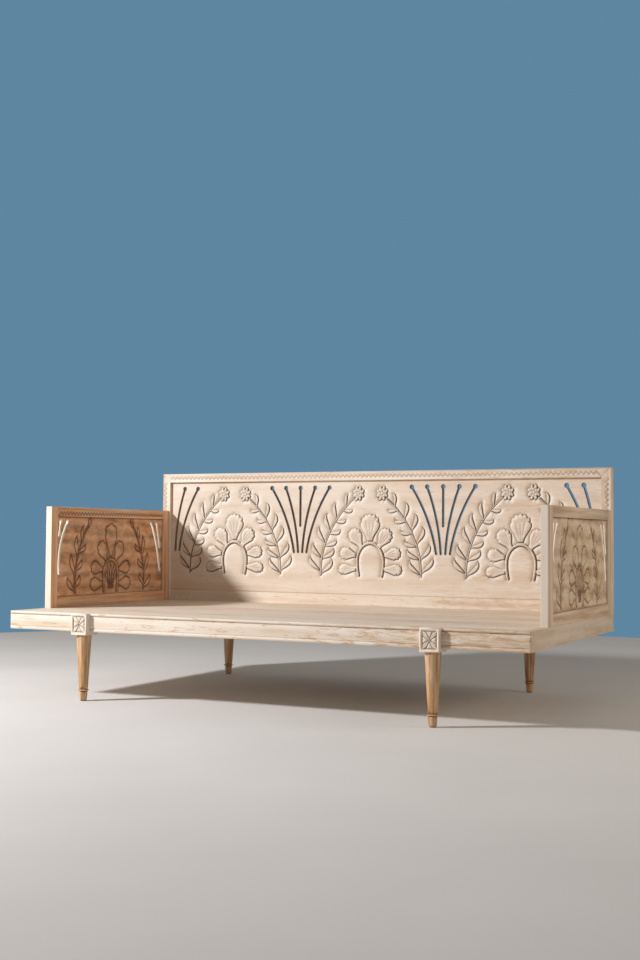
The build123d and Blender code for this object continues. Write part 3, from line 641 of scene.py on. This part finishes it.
def carve(
    build, axis, level, outwards, motifs=(), cuts=(), pits=(), field=None,
    depth=4.0, wall=3.4, reach=11.0, ground_stain_and_shade=1.0, frame_shade_width=0.0, scoop=0.0,
    lit_side_clearing=0.0, grid=9.0, step=3.0,
):
    """Carves the flat face of build that lies at level along axis and faces outwards.

    motifs are closed outlines that stay up, and everything outside field stays up too. The ground
    falls to depth beside them, over reach. Their edges slope down over wall, and scoop hollows
    their middle. cuts are (line, half width, depth) of V-grooves, and pits are closed outlines
    that are chipped out. All are in mm, in the face's own two axes.

    The ground keeps ground_stain_and_shade of the dark colour of the cuts, which is partly stain
    and partly painted shade. Painted shade of the frame's recess lies over frame_shade_width along
    the frame. lit_side_clearing is the share of the painted shade taken off the upper left of the
    motifs, the side towards the lamp.
    grid and step are how close the points lie on the open face and along the cuts.
    """
    rims = open_face(build, axis, level, outwards)
    out, triangles, kinds = drawn_plan(rims, motifs, cuts, pits, field, grid, step, frame_shade_width)
    places = np.array([tuple(p) for p in out])
    raised = ["motif" in kind or (field is not None and "field" not in kind) for kind in kinds]
    chipped = ["pit" in kind for kind in kinds]
    to_motif = near(border(out, triangles, raised), places)
    to_pit = near(border(out, triangles, chipped), places)
    to_rim = near([p for rim in rims for p in resampled(rim, rim_step)], places)
    on_motif = wholly(len(places), triangles, raised)

    # How far each point lies below the face. The edge of a motif is rounded over its wall, and
    # the carving runs out over the last few mm before the frame and the slots.
    ground = depth * np.clip(1 - to_motif / reach, 0, 1) ** 2.0
    edge = depth * np.clip(1 - to_motif / wall, 0, 1)
    round_edge = 0.2 * depth * np.clip(1 - to_motif / (wall + 3.0), 0, 1) ** 2
    hollow = scoop * np.clip((to_motif - 4.0) / 10.0, 0, 1)
    crown = np.maximum(edge, round_edge) + hollow
    down = np.where(on_motif, crown, ground)
    down += np.where(wholly(len(places), triangles, chipped), np.minimum(to_pit * 0.9, depth), 0)
    for line, half_width, cut_depth in cuts:
        samples = resampled(line, 0.5, closed=False)
        low = np.array(samples).min(axis=0) - half_width
        high = np.array(samples).max(axis=0) + half_width
        close = np.flatnonzero(((places > low) & (places < high)).all(axis=1))
        if len(close):
            gap = near(samples, places[close])
            down[close] += cut_depth * np.clip(1 - gap / (half_width * 0.98), 0, 1)
    down *= np.clip(to_rim / run_out, 0, 1) ** 0.7

    # How dark each point is coloured, as stain and painted shade of the hollows: the deeper it
    # lies, the darker.
    darkening = down / depth * np.where((to_motif > 0.1) & ~on_motif, ground_stain_and_shade, 1.0)
    # Painted shade: the dark colour stays on the lower right side of each motif, away from the
    # lamp, and is taken off its upper left.
    if lit_side_clearing:
        toward_lamp = 0.35 - shade_side_of_motifs(out, triangles, raised, places)
        darkening *= 1 - lit_side_clearing * np.clip(toward_lamp, 0, 1) * np.clip(2.0 - to_motif / 5.0, 0, 1)
    # Painted shade of the frame's recess: a dark band along the frame.
    if frame_shade_width:
        to_corner = near(resampled(rims[0], rim_step), places)
        darkening = np.maximum(darkening, np.clip(1.2 - to_corner / frame_shade_width, 0, 1))
    layer = build.verts.layers.float.get("cut") or build.verts.layers.float.new("cut")
    made = []
    for (u, v), sunk, share in zip(places, down, darkening):
        spot = [0.0, 0.0, v]
        spot[1 - axis] = u
        spot[axis] = level - outwards * sunk
        vertex = build.verts.new(spot)
        vertex[layer] = float(share)
        made.append(vertex)
    flip = (outwards > 0) == (axis == 1)
    for triangle in triangles:
        build.faces.new([made[number] for number in (triangle[::-1] if flip else triangle)])
    bmesh.ops.delete(build, geom=[v for v in made if not v.link_faces], context="VERTS")
    bmesh.ops.remove_doubles(build, verts=build.verts, dist=0.01)


def leaf(base, heading, length, width, swing=0.0):
    """Outline and midrib of a slender leaf with a narrow foot and a pointed tip.

    It sets off near heading, in degrees from the face's first axis, swings aside by about swing
    degrees and curls back at its tip.
    """
    steps = 24
    shares = (np.arange(steps) + 0.5) / steps
    turns = swing * np.interp(shares, (0.0, 0.3, 0.65, 1.0), (0.5, 1.3, 0.95, -0.35))
    angles = np.radians(heading + turns)
    middle = [Vector(base)]
    for angle in angles:
        middle.append(middle[-1] + Vector((math.cos(angle), math.sin(angle))) * length / steps)
    left, right = [], []
    for step in range(steps):
        share = step / steps
        half = width / 2 * math.sin(math.pi * share ** 1.35) ** 1.1 + 1.3 * (1 - share)
        aside = Vector((-math.sin(angles[step]), math.cos(angles[step]))) * half
        left.append(tuple(middle[step] + aside))
        right.append(tuple(middle[step] - aside))
    return right + [tuple(middle[-1])] + left[::-1], [tuple(p) for p in middle[5:int(steps * 0.88)]]


def petal(base, heading, length, width, neck, lobes, point=0.0):
    """Outline and veins of a petal: a narrow neck that widens to a scalloped end."""
    turned = math.radians(heading)
    ahead = Vector((math.cos(turned), math.sin(turned)))
    aside = Vector((-ahead[1], ahead[0]))
    start = Vector(base)
    cap = min(width * 0.5, length * 0.42)
    shoulder = length - cap
    scallop = 0.15

    def half_at(share):
        """Half the petal's width at a share of the way from the neck to the shoulder."""
        return neck / 2 + (width - neck) / 2 * share * share * (3 - 2 * share)

    right = [(share * shoulder, -half_at(share)) for share in np.arange(12) / 12]
    end = []
    for around in np.linspace(-math.pi / 2, math.pi / 2, 49):
        swell = 1 - scallop * (1 - abs(math.cos(lobes * around)))
        reach = cap * max(math.cos(around), 0.0) ** (1 - 0.35 * point) * swell
        end.append((shoulder + reach, width / 2 * math.sin(around) * swell))
    left = [(along, -half) for along, half in reversed(right)]
    outline = [tuple(start + ahead * a + aside * b) for a, b in right + end + left]
    veins = []
    for spread in (-0.5, 0.0, 0.5):
        veins.append([
            tuple(start + ahead * share * length + aside * half_at(share) * spread)
            for share in np.linspace(0.16, 0.62, 8)
        ])
    return outline, veins


def mirrored(points, middle):
    """The same points on the other side of the upright line at middle."""
    return [(2 * middle - u, v) for u, v in points]


def side_petal(middle, side, base, heading, length, width, neck, lobes):
    """A petal that sets off at base on the right of the middle of a pattern, or on the left."""
    outline, veins = petal((middle + base[0], base[1]), heading, length, width, neck, lobes)
    if side < 0:
        outline = mirrored(outline, middle)
        veins = [mirrored(vein, middle) for vein in veins]
    return outline, veins


def inner_line(outline, inset):
    """A closed line inside an outline, as a carver scribes it along a petal's edge."""
    line = outline if signed_area(outline) > 0 else outline[::-1]
    line = beside(resampled(line, 4.0), inset)
    return line + line[:1]


def ribbon(path, width):
    """Outline of a band of even width along a path."""
    return beside(path, width / 2, False) + beside(path, -width / 2, False)[::-1]


def blossom(centre, radius, lobes, notch):
    """Outline of a flower, a little taller than it is wide, with lobes round its edge."""
    points = []
    for around in np.linspace(0, 2 * math.pi, lobes * 12, endpoint=False):
        reach = radius * (1 - notch * (1 - abs(math.sin(lobes * around / 2))))
        spot = (reach * 0.94 * math.cos(around), reach * 1.08 * math.sin(around))
        points.append((centre[0] + spot[0], centre[1] + spot[1]))
    return points


def flower_cuts(centre, radius):
    """The cuts inside a flower: its heart, a ring of inner petals and rays between the outer."""
    inner = blossom(centre, radius * 0.6, lobes=5, notch=0.3)
    heart = blossom(centre, radius * 0.26, lobes=5, notch=0.1)
    cuts = [(inner + inner[:1], 2.4, 3.6), (heart + heart[:1], 1.8, 3.0)]
    for ray in range(8):
        around = math.pi / 4 * ray
        aim = Vector((math.cos(around), math.sin(around)))
        ends = [tuple(Vector(centre) + aim * radius * share) for share in (0.66, 0.94)]
        cuts.append((ends, 2.2, 2.8))
    return cuts


def arch(centre, half_width, height, foot):
    """A line from foot to foot over a dome, widest at centre."""
    over = [
        (centre[0] + half_width * math.cos(around), centre[1] + height * math.sin(around))
        for around in np.linspace(0, math.pi, 61)
    ]
    rise = centre[1] - foot
    right = [
        (centre[0] + half_width * (1 - 0.12 * share ** 2), centre[1] - rise * share)
        for share in (1.0, 0.75, 0.5, 0.25)
    ]
    return right + over + mirrored(right[::-1], centre[0])


def bead_tree():
    """Geometry Nodes that set small round beads along a line."""
    tree = bpy.data.node_groups.new("beads along a line", "GeometryNodeTree")
    for name, kind, direction in (
        ("Line", "Geometry", "INPUT"),
        ("Radius", "Float", "INPUT"),
        ("Spacing", "Float", "INPUT"),
        ("Material", "Material", "INPUT"),
        ("Beads", "Geometry", "OUTPUT"),
    ):
        tree.interface.new_socket(name, in_out=direction, socket_type=f"NodeSocket{kind}")
    given = add_node(tree, "NodeGroupInput")
    curve = add_node(tree, "GeometryNodeMeshToCurve", {"Mesh": given.outputs["Line"]})
    even = add_node(
        tree, "GeometryNodeResampleCurve",
        {"Curve": curve.outputs["Curve"], "Length": given.outputs["Spacing"]},
        mode="LENGTH",
    )
    bead = add_node(
        tree, "GeometryNodeMeshIcoSphere",
        {"Radius": given.outputs["Radius"], "Subdivisions": 2},
    )
    set_beads = add_node(
        tree, "GeometryNodeInstanceOnPoints",
        {"Points": even.outputs["Curve"], "Instance": bead.outputs["Mesh"]},
    )
    real = add_node(
        tree, "GeometryNodeRealizeInstances", {"Geometry": set_beads.outputs["Instances"]}
    )
    finished = add_node(
        tree, "GeometryNodeSetMaterial",
        {"Geometry": real.outputs["Geometry"], "Material": given.outputs["Material"]},
    )
    add_node(tree, "NodeGroupOutput", {"Beads": finished.outputs["Geometry"]})
    return tree


beads_along = bead_tree()


def add_beads(build, lines, radius, spacing, material):
    """Sets beads along lines of points, in mm, into the mesh being built."""
    path = bmesh.new()
    for line in lines:
        spots = [path.verts.new(point) for point in line]
        for start, end in zip(spots, spots[1:]):
            path.edges.new((start, end))
    mesh = bpy.data.meshes.new("bead lines")
    path.to_mesh(mesh)
    path.free()
    strung = mesh_object("bead lines", mesh)
    modifier = strung.modifiers.new("beads", "NODES")
    modifier.node_group = beads_along
    inputs = {item.name: item.identifier for item in beads_along.interface.items_tree}
    modifier[inputs["Radius"]] = radius
    modifier[inputs["Spacing"]] = spacing
    modifier[inputs["Material"]] = material
    seen_from = bpy.context.evaluated_depsgraph_get()
    before = set(build.faces)
    build.from_mesh(bpy.data.meshes.new_from_object(strung.evaluated_get(seen_from)))
    for face in build.faces:
        if face not in before:
            face.material_index = 0
    bpy.data.objects.remove(strung)


def sprig(middle, side, knots, outer, inner):
    """A stem beside the middle of a pattern with leaves along both its sides, as (outlines, ribs).

    knots are the foot, the two handles and the tip of the stem. outer and inner are lists of
    (share of the stem, length, width, swing off the stem in degrees).
    """
    handles = [Vector((middle + side * u, v)) for u, v in knots]
    line = [tuple(p) for p in interpolate_bezier(*handles, 40)]
    stem_width = 5.0
    outlines = [ribbon(resampled(line, 6.0, closed=False), stem_width)]
    ribs = []
    for leaves, hand in ((outer, -1), (inner, 1)):
        for share, length, width, swing in leaves:
            number = int(share * 38)
            here, ahead = Vector(line[number]), Vector(line[number + 1])
            heading = math.degrees(math.atan2(ahead[1] - here[1], ahead[0] - here[0]))
            outline, rib = leaf(here, heading, length, width, side * hand * swing)
            outlines.append(outline)
            ribs.append(rib)
    return outlines, ribs


# The back is broad-figured and evenly washed, so it looks pale and soft. Painted shade, dark
# brown, under the lower right edge of each leaf and petal draws the carving, and painted light,
# a paler wash, lies on the faces turned up and to the left, towards the lamp.
back_wood = washed_wood(
    "washed mango, carved back", "X",
    [(0.15, "#CDB5A0"), (0.4, "#DDC9B6"), (0.62, "#E6D8C9"), (0.85, "#EEE4D9")],
    start=(0.2, 0.0, 0.37), streak=44.0, wash=0.4, worn=0.3, bare_end=0.16,
    stain_and_shade=("#47260F", 1.0, 0.15), coat=((-1.0, 0.0, 0.6), 0.75),
)
# The walls of the slots are painted dull greyish brown, as painted shade, so the slots look like
# dark strokes.
shaded_slot_wood = washed_wood(
    "mango, slot walls in painted shade", "X",
    [(0.2, "#7D6653"), (0.5, "#A08A75"), (0.8, "#B8A692")],
    wash=0.1, rough=0.7,
)
panel_front = 515.0
panel_rear = 535.0
front_depth = 7.0
rear_depth = 4.5
medallion_pitch = 652.0
carving_foot = 443.0
sprig_knots = [(228, 443), (236, 560), (170, 690), (72, 772)]
outer_leaves = [
    (0.03, 94, 17, 42), (0.2, 88, 17, 46), (0.37, 88, 16, 46),
    (0.54, 86, 16, 46), (0.71, 80, 15, 44), (0.87, 64, 13, 38),
]
inner_leaves = [
    (0.02, 92, 17, 48), (0.19, 82, 17, 50), (0.35, 72, 15, 53),
    (0.51, 64, 14, 54), (0.67, 58, 13, 54), (0.82, 52, 12, 52),
]
side_petals = [((40, 566), 58, 88, 66), ((64, 530), 10, 77, 55), ((64, 473), -2, 82, 47)]
flower = (54, 790)
flower_radius = 30.0
ring_centre = 505.0
ring_half_width = 59.5
ring_rise = 76.0
ring_band = 13.0
bead_radius = 3.8
bead_spacing = 8.4
rib_cut = (1.8, 1.4)
vein_cut = (1.8, 1.2)
back_motifs, back_cuts, back_rings = [], [], []
for medallion in (-medallion_pitch, 0.0, medallion_pitch):
    for side in (-1, 1):
        outlines, ribs = sprig(medallion, side, sprig_knots, outer_leaves, inner_leaves)
        back_motifs += outlines
        back_cuts += [(rib, *rib_cut) for rib in ribs]
        centre = (medallion + side * flower[0], flower[1])
        back_motifs.append(blossom(centre, flower_radius, lobes=8, notch=0.3))
        back_cuts += flower_cuts(centre, flower_radius)
        for sizes in side_petals:
            outline, veins = side_petal(medallion, side, *sizes, neck=20, lobes=5)
            back_motifs.append(outline)
            back_cuts += [(vein, *vein_cut) for vein in veins]
    outline, veins = petal((medallion, 590), heading=90, length=116, width=90, neck=25, lobes=6)
    back_motifs.append(outline)
    back_cuts += [(vein, *vein_cut) for vein in veins]
    ring = arch((medallion, ring_centre), ring_half_width, ring_rise, carving_foot)
    back_motifs.append(ribbon(resampled(ring, 4.0, closed=False), ring_band))
    back_rings.append(ring)

back_panel = merged_copy("back_panel", 1)
for level, outwards, depth in ((panel_front, -1, front_depth), (panel_rear, 1, rear_depth)):
    carve(
        back_panel, 1, level, outwards, back_motifs, back_cuts,
        depth=depth, wall=4.4, reach=9.0, ground_stain_and_shade=0.75, scoop=1.4, lit_side_clearing=0.8, grid=13.0,
    )
    lines = [[(u, level, v) for u, v in ring] for ring in back_rings]
    add_beads(back_panel, lines, bead_radius, bead_spacing, back_wood)
finish_piece(back_panel, "back_panel", back_wood, shaded_slot_wood)

# Frame of the back: a rail mitred to two stiles, glued up round the panel. A zigzag line is
# chip-carved along the front of each, with a little stain left in it. The wood is as pale as the
# panel's, in narrow streaks, and barer and yellower towards the right end.
frame_wood_x, frame_wood_z = (
    washed_wood(
        f"washed mango, back frame {part}", along, pale_tones, start=start, streak=18.0,
        wash=0.55, worn=0.5, bare_end=0.28, stain_and_shade=("#8A6A50", 0.5, 0.3),
    )
    for part, along, start in (("rail", "X", (0.9, 0.3, 0.1)), ("stile", "Z", (0.5, 0.2, 0.8)))
)
frame_front = 502.0
frame_top = 883.0
frame_half = 1015.0
zigzag_pitch = 20.0
zigzag_swing = 6.0
zigzag_from_top = 20.0
zigzag_from_side = 14.0
zigzag_half_width = 4.0
zigzag_depth = 3.2
zigzag_from_corner = 45.0
stile_zigzag_foot = 335.0


def zigzag(start, end):
    """A zigzag line about the straight line from start to end."""
    first, last = Vector(start), Vector(end)
    run = last - first
    count = 2 * int(run.length / zigzag_pitch)
    aside = Vector((-run[1], run[0])).normalized() * zigzag_swing
    return [
        tuple(first.lerp(last, step / count) + aside * (1 if step % 2 else -1))
        for step in range(count + 1)
    ]


def carve_zigzag(node, axis, level, outwards, ends, material):
    """Chip-carves a zigzag into one face of a rail or stile."""
    build = merged_copy(node, axis)
    cuts = [(zigzag(*ends), zigzag_half_width, zigzag_depth)]
    carve(build, axis, level, outwards, cuts=cuts, depth=zigzag_depth, grid=14.0, step=2.0)
    finish_piece(build, node, material, material)


rail_line = frame_top - zigzag_from_top
rail_end = frame_half - zigzag_from_corner
rail_ends = ((-rail_end, rail_line), (rail_end, rail_line))
carve_zigzag("back_top_rail", 1, frame_front, -1, rail_ends, frame_wood_x)
for side, name in ((-1, "left"), (1, "right")):
    stile_line = side * (frame_half - zigzag_from_side)
    stile_ends = ((stile_line, stile_zigzag_foot), (stile_line, frame_top - zigzag_from_corner))
    carve_zigzag(f"back_stile_{name}", 1, frame_front, -1, stile_ends, frame_wood_z)
dress(frame_wood_x, "back_bottom_rail")
dress(frame_wood_z, "screw_plugs")

# Arms: mango frames round a pierced panel, which is carved on both faces with one medallion
# between two sprigs. Their wash is thinner than the back's, so the tan wood shows and the panels
# look mottled, and more stain, partly painted shade, stays in the cuts. A dark band along the
# frame is painted shade of the panel's recess, and the faces turned to the lamp get a paler wash
# as painted light. The left arm is the redder.
arm_tones = {
    "left": [(0.32, "#B67A51"), (0.45, "#D39B70"), (0.56, "#E0B48C"), (0.7, "#EBCDAE")],
    "right": [(0.32, "#B89876"), (0.45, "#D1B18F"), (0.56, "#DEC5A6"), (0.7, "#E9D8C1")],
}
arm_panel_tones = {
    "left": [(0.33, "#8C6A42"), (0.44, "#BC875B"), (0.55, "#D8A073"), (0.7, "#E9C29C")],
    "right": [(0.33, "#9A8562"), (0.44, "#CAAB87"), (0.55, "#DFC4A4"), (0.7, "#EBDAC3")],
}
# Colour of the arms' stain in the cuts, and of the painted shade there and along the frames.
arm_stain_and_shade = {"left": ("#54290F", 0.78, 0.2), "right": ("#5C3A1C", 0.78, 0.2)}


def arm_wood(name, along, side, tones=arm_tones, **look):
    """The thinly washed wood of the left or the right arm."""
    return washed_wood(
        f"thinly washed mango, {side} arm {name}", along, tones[side],
        wash=0.15, stain_and_shade=arm_stain_and_shade[side], **look,
    )


# The walls of the arms' slots are painted near white, as painted light where the lamp shines
# into them, so the slots look like white strokes.
lit_arm_slot_wood = washed_wood(
    "mango, arm slot walls in painted light", "Y",
    [(0.2, "#EDE4D8"), (0.5, "#F3ECE2"), (0.8, "#F7F2EB")],
    wash=0.3, worn=0.0,
)
arm_inner_face = 984.0
arm_panel_faces = (991.0, 1008.0)
arm_middle = 70.0
arm_foot = 373.0
arm_sprig_knots = [(245, 373), (262, 450), (232, 560), (158, 652)]
arm_outer_leaves = [(0.02, 84, 20, 36), (0.28, 96, 20, 27), (0.54, 94, 18, 25), (0.78, 66, 15, 24)]
arm_inner_leaves = [(0.1, 62, 18, 44), (0.36, 66, 17, 42), (0.62, 60, 16, 40)]
arm_petals = [((32, 504), 57, 88, 64), ((60, 464), 10, 80, 54), ((60, 405), 0, 84, 54)]
arm_ring_centre = 440.0
arm_ring_half_width = 51.0
arm_ring_rise = 66.0
arm_bead_radius = 3.6
arm_rib_cut = (1.6, 1.3)
scribed_cut = (2.2, 1.8)
arm_zigzag_ends = ((-295.0, 694.0), (452.0, 694.0))
arm_motifs, arm_cuts = [], []


def add_arm_petal(outline, veins):
    """Adds a petal with its veins and a scribed line along its edge."""
    arm_motifs.append(outline)
    arm_cuts.append((inner_line(outline, 6.5), *scribed_cut))
    arm_cuts.extend((vein, *vein_cut) for vein in veins)


for side in (-1, 1):
    outlines, ribs = sprig(arm_middle, side, arm_sprig_knots, arm_outer_leaves, arm_inner_leaves)
    arm_motifs += outlines
    arm_cuts += [(rib, *arm_rib_cut) for rib in ribs]
    tip = arm_sprig_knots[-1]
    tip_foot = (arm_middle + side * tip[0], tip[1] - 14)
    outline, rib = leaf(tip_foot, heading=90 + side * 14, length=46, width=15)
    arm_motifs.append(outline)
    arm_cuts.append((rib, *arm_rib_cut))
    for sizes in arm_petals:
        add_arm_petal(*side_petal(arm_middle, side, *sizes, neck=18, lobes=4))
add_arm_petal(*petal((arm_middle, 520), 90, length=134, width=82, neck=22, lobes=3, point=0.8))
arm_ring = arch((arm_middle, arm_ring_centre), arm_ring_half_width, arm_ring_rise, arm_foot)
arm_motifs.append(ribbon(resampled(arm_ring, 4.0, closed=False), ring_band))

# Inside the ring: five slim leaves that fan out over a chipped hollow.
for spread in (-2, -1, 0, 1, 2):
    foot = (arm_middle + spread * 9, 402 + 2 * abs(spread))
    outline, _ = leaf(foot, heading=90 - spread * 10, length=86 - 10 * abs(spread), width=10)
    arm_motifs.append(outline)
arm_pits = [arch((arm_middle, 392), half_width=26, height=14, foot=380)]

for side, name in ((-1, "left"), (1, "right")):
    # Painted light: the faces of each arm piece that turn to the lamp, at the left and front, get a
    # paler wash.
    rail_wood_y = arm_wood(
        "rails", "Y", name, start=(0.1, 0.5, 0.2), streak=16.0, run=260.0,
        coat=((-1.0, 0.0, 0.0), 0.6),
    )
    stile_wood_z = arm_wood(
        "stiles", "Z", name, start=(0.3, 0.4, 0.6), streak=16.0, run=260.0,
        coat=((-0.75, -0.66, 0.0), 0.7),
    )
    panel_wood = arm_wood(
        "panel", "Y", name, arm_panel_tones, start=(0.6, 0.2, 0.9), streak=30.0, run=55.0,
        worn=0.5, coat=((-1.0, 0.0, 0.0), 0.55),
    )
    panel = merged_copy(f"arm_panel_{name}", 0)
    for face, outwards in zip(arm_panel_faces, (-side, side)):
        carve(
            panel, 0, side * face, outwards, arm_motifs, arm_cuts, arm_pits,
            depth=5.0, wall=3.8, reach=12.0, frame_shade_width=15.0, scoop=0.8,
        )
        lines = [[(side * face, u, v) for u, v in arm_ring]]
        add_beads(panel, lines, arm_bead_radius, bead_spacing, panel_wood)
    finish_piece(panel, f"arm_panel_{name}", panel_wood, lit_arm_slot_wood)
    carve_zigzag(
        f"arm_top_rail_{name}", 0, side * arm_inner_face, -side, arm_zigzag_ends, rail_wood_y
    )
    dress(rail_wood_y, f"arm_bottom_rail_{name}")
    dress(stile_wood_z, f"arm_front_stile_{name}", f"arm_rear_stile_{name}")

# Leg blocks: square blocks of mango let into the rails and screwed to them. The outer face has a
# sunk field in a plain border, with a cross of four leaves and three chips between each pair of
# them. The blocks are the whitest wood, so the stained field stands out.
block_wood = washed_wood(
    "washed mango, leg block", "Z",
    [(0.15, "#DEC5AA"), (0.4, "#ECD9C4"), (0.62, "#F3E5D6"), (0.85, "#F8F0E6")],
    start=(0.7, 0.3, 0.5), streak=16.0, wash=0.3, stain_and_shade=("#6B4529", 0.6, 0.4),
)
block_face = 570.0
block_middle_z = 281.0
leg_line = 684.0
field_half_width = 25.0
field_half_height = 29.0
block_rib_cut = (2.4, 2.6)
# The chips along one side of the field, as (place across, length, width).
chips_in_a_row = [(-10.0, 9.0, 6.5), (0.0, 15.0, 7.0), (10.0, 9.0, 6.5)]


def rosette(middle):
    """A cross of leaves with chips between them, as (leaves, ribs, chips, field)."""
    across, up = field_half_width, field_half_height
    corner_at = math.degrees(math.atan2(up, across))
    reach = math.hypot(across, up)
    leaves, ribs, chips = [], [], []
    for heading in (corner_at, 180 - corner_at, 180 + corner_at, -corner_at):
        outline, rib = leaf(middle, heading, length=reach + 1.0, width=12)
        leaves.append(outline)
        ribs.append(rib)
    for quarter in range(4):
        aim = math.pi / 2 * quarter
        ahead = Vector((math.cos(aim), math.sin(aim)))
        aside = Vector((-ahead[1], ahead[0]))
        end = abs(ahead[0]) * across + abs(ahead[1]) * up - 1.0
        for place, length, width in chips_in_a_row:
            chip = ((end, place - width / 2), (end, place + width / 2), (end - length, place * 0.6))
            chips.append([tuple(Vector(middle) + ahead * a + aside * b) for a, b in chip])
    u, v = middle
    field = [(u - across, v - up), (u + across, v - up), (u + across, v + up), (u - across, v + up)]
    return leaves, ribs, chips, field


for corner in corners:
    block_line = leg_line if corner.endswith("right") else -leg_line
    outwards = -1 if corner.startswith("front") else 1
    leaves, ribs, chips, field = rosette((block_line, block_middle_z))
    block = merged_copy(f"leg_block_{corner}", 1)
    carve(
        block, 1, outwards * block_face, outwards, leaves,
        [(rib, *block_rib_cut) for rib in ribs], chips,
        field=field, depth=4.6, wall=1.6, reach=9.0, grid=5.0, step=1.6,
    )
    finish_piece(block, f"leg_block_{corner}", block_wood, block_wood)
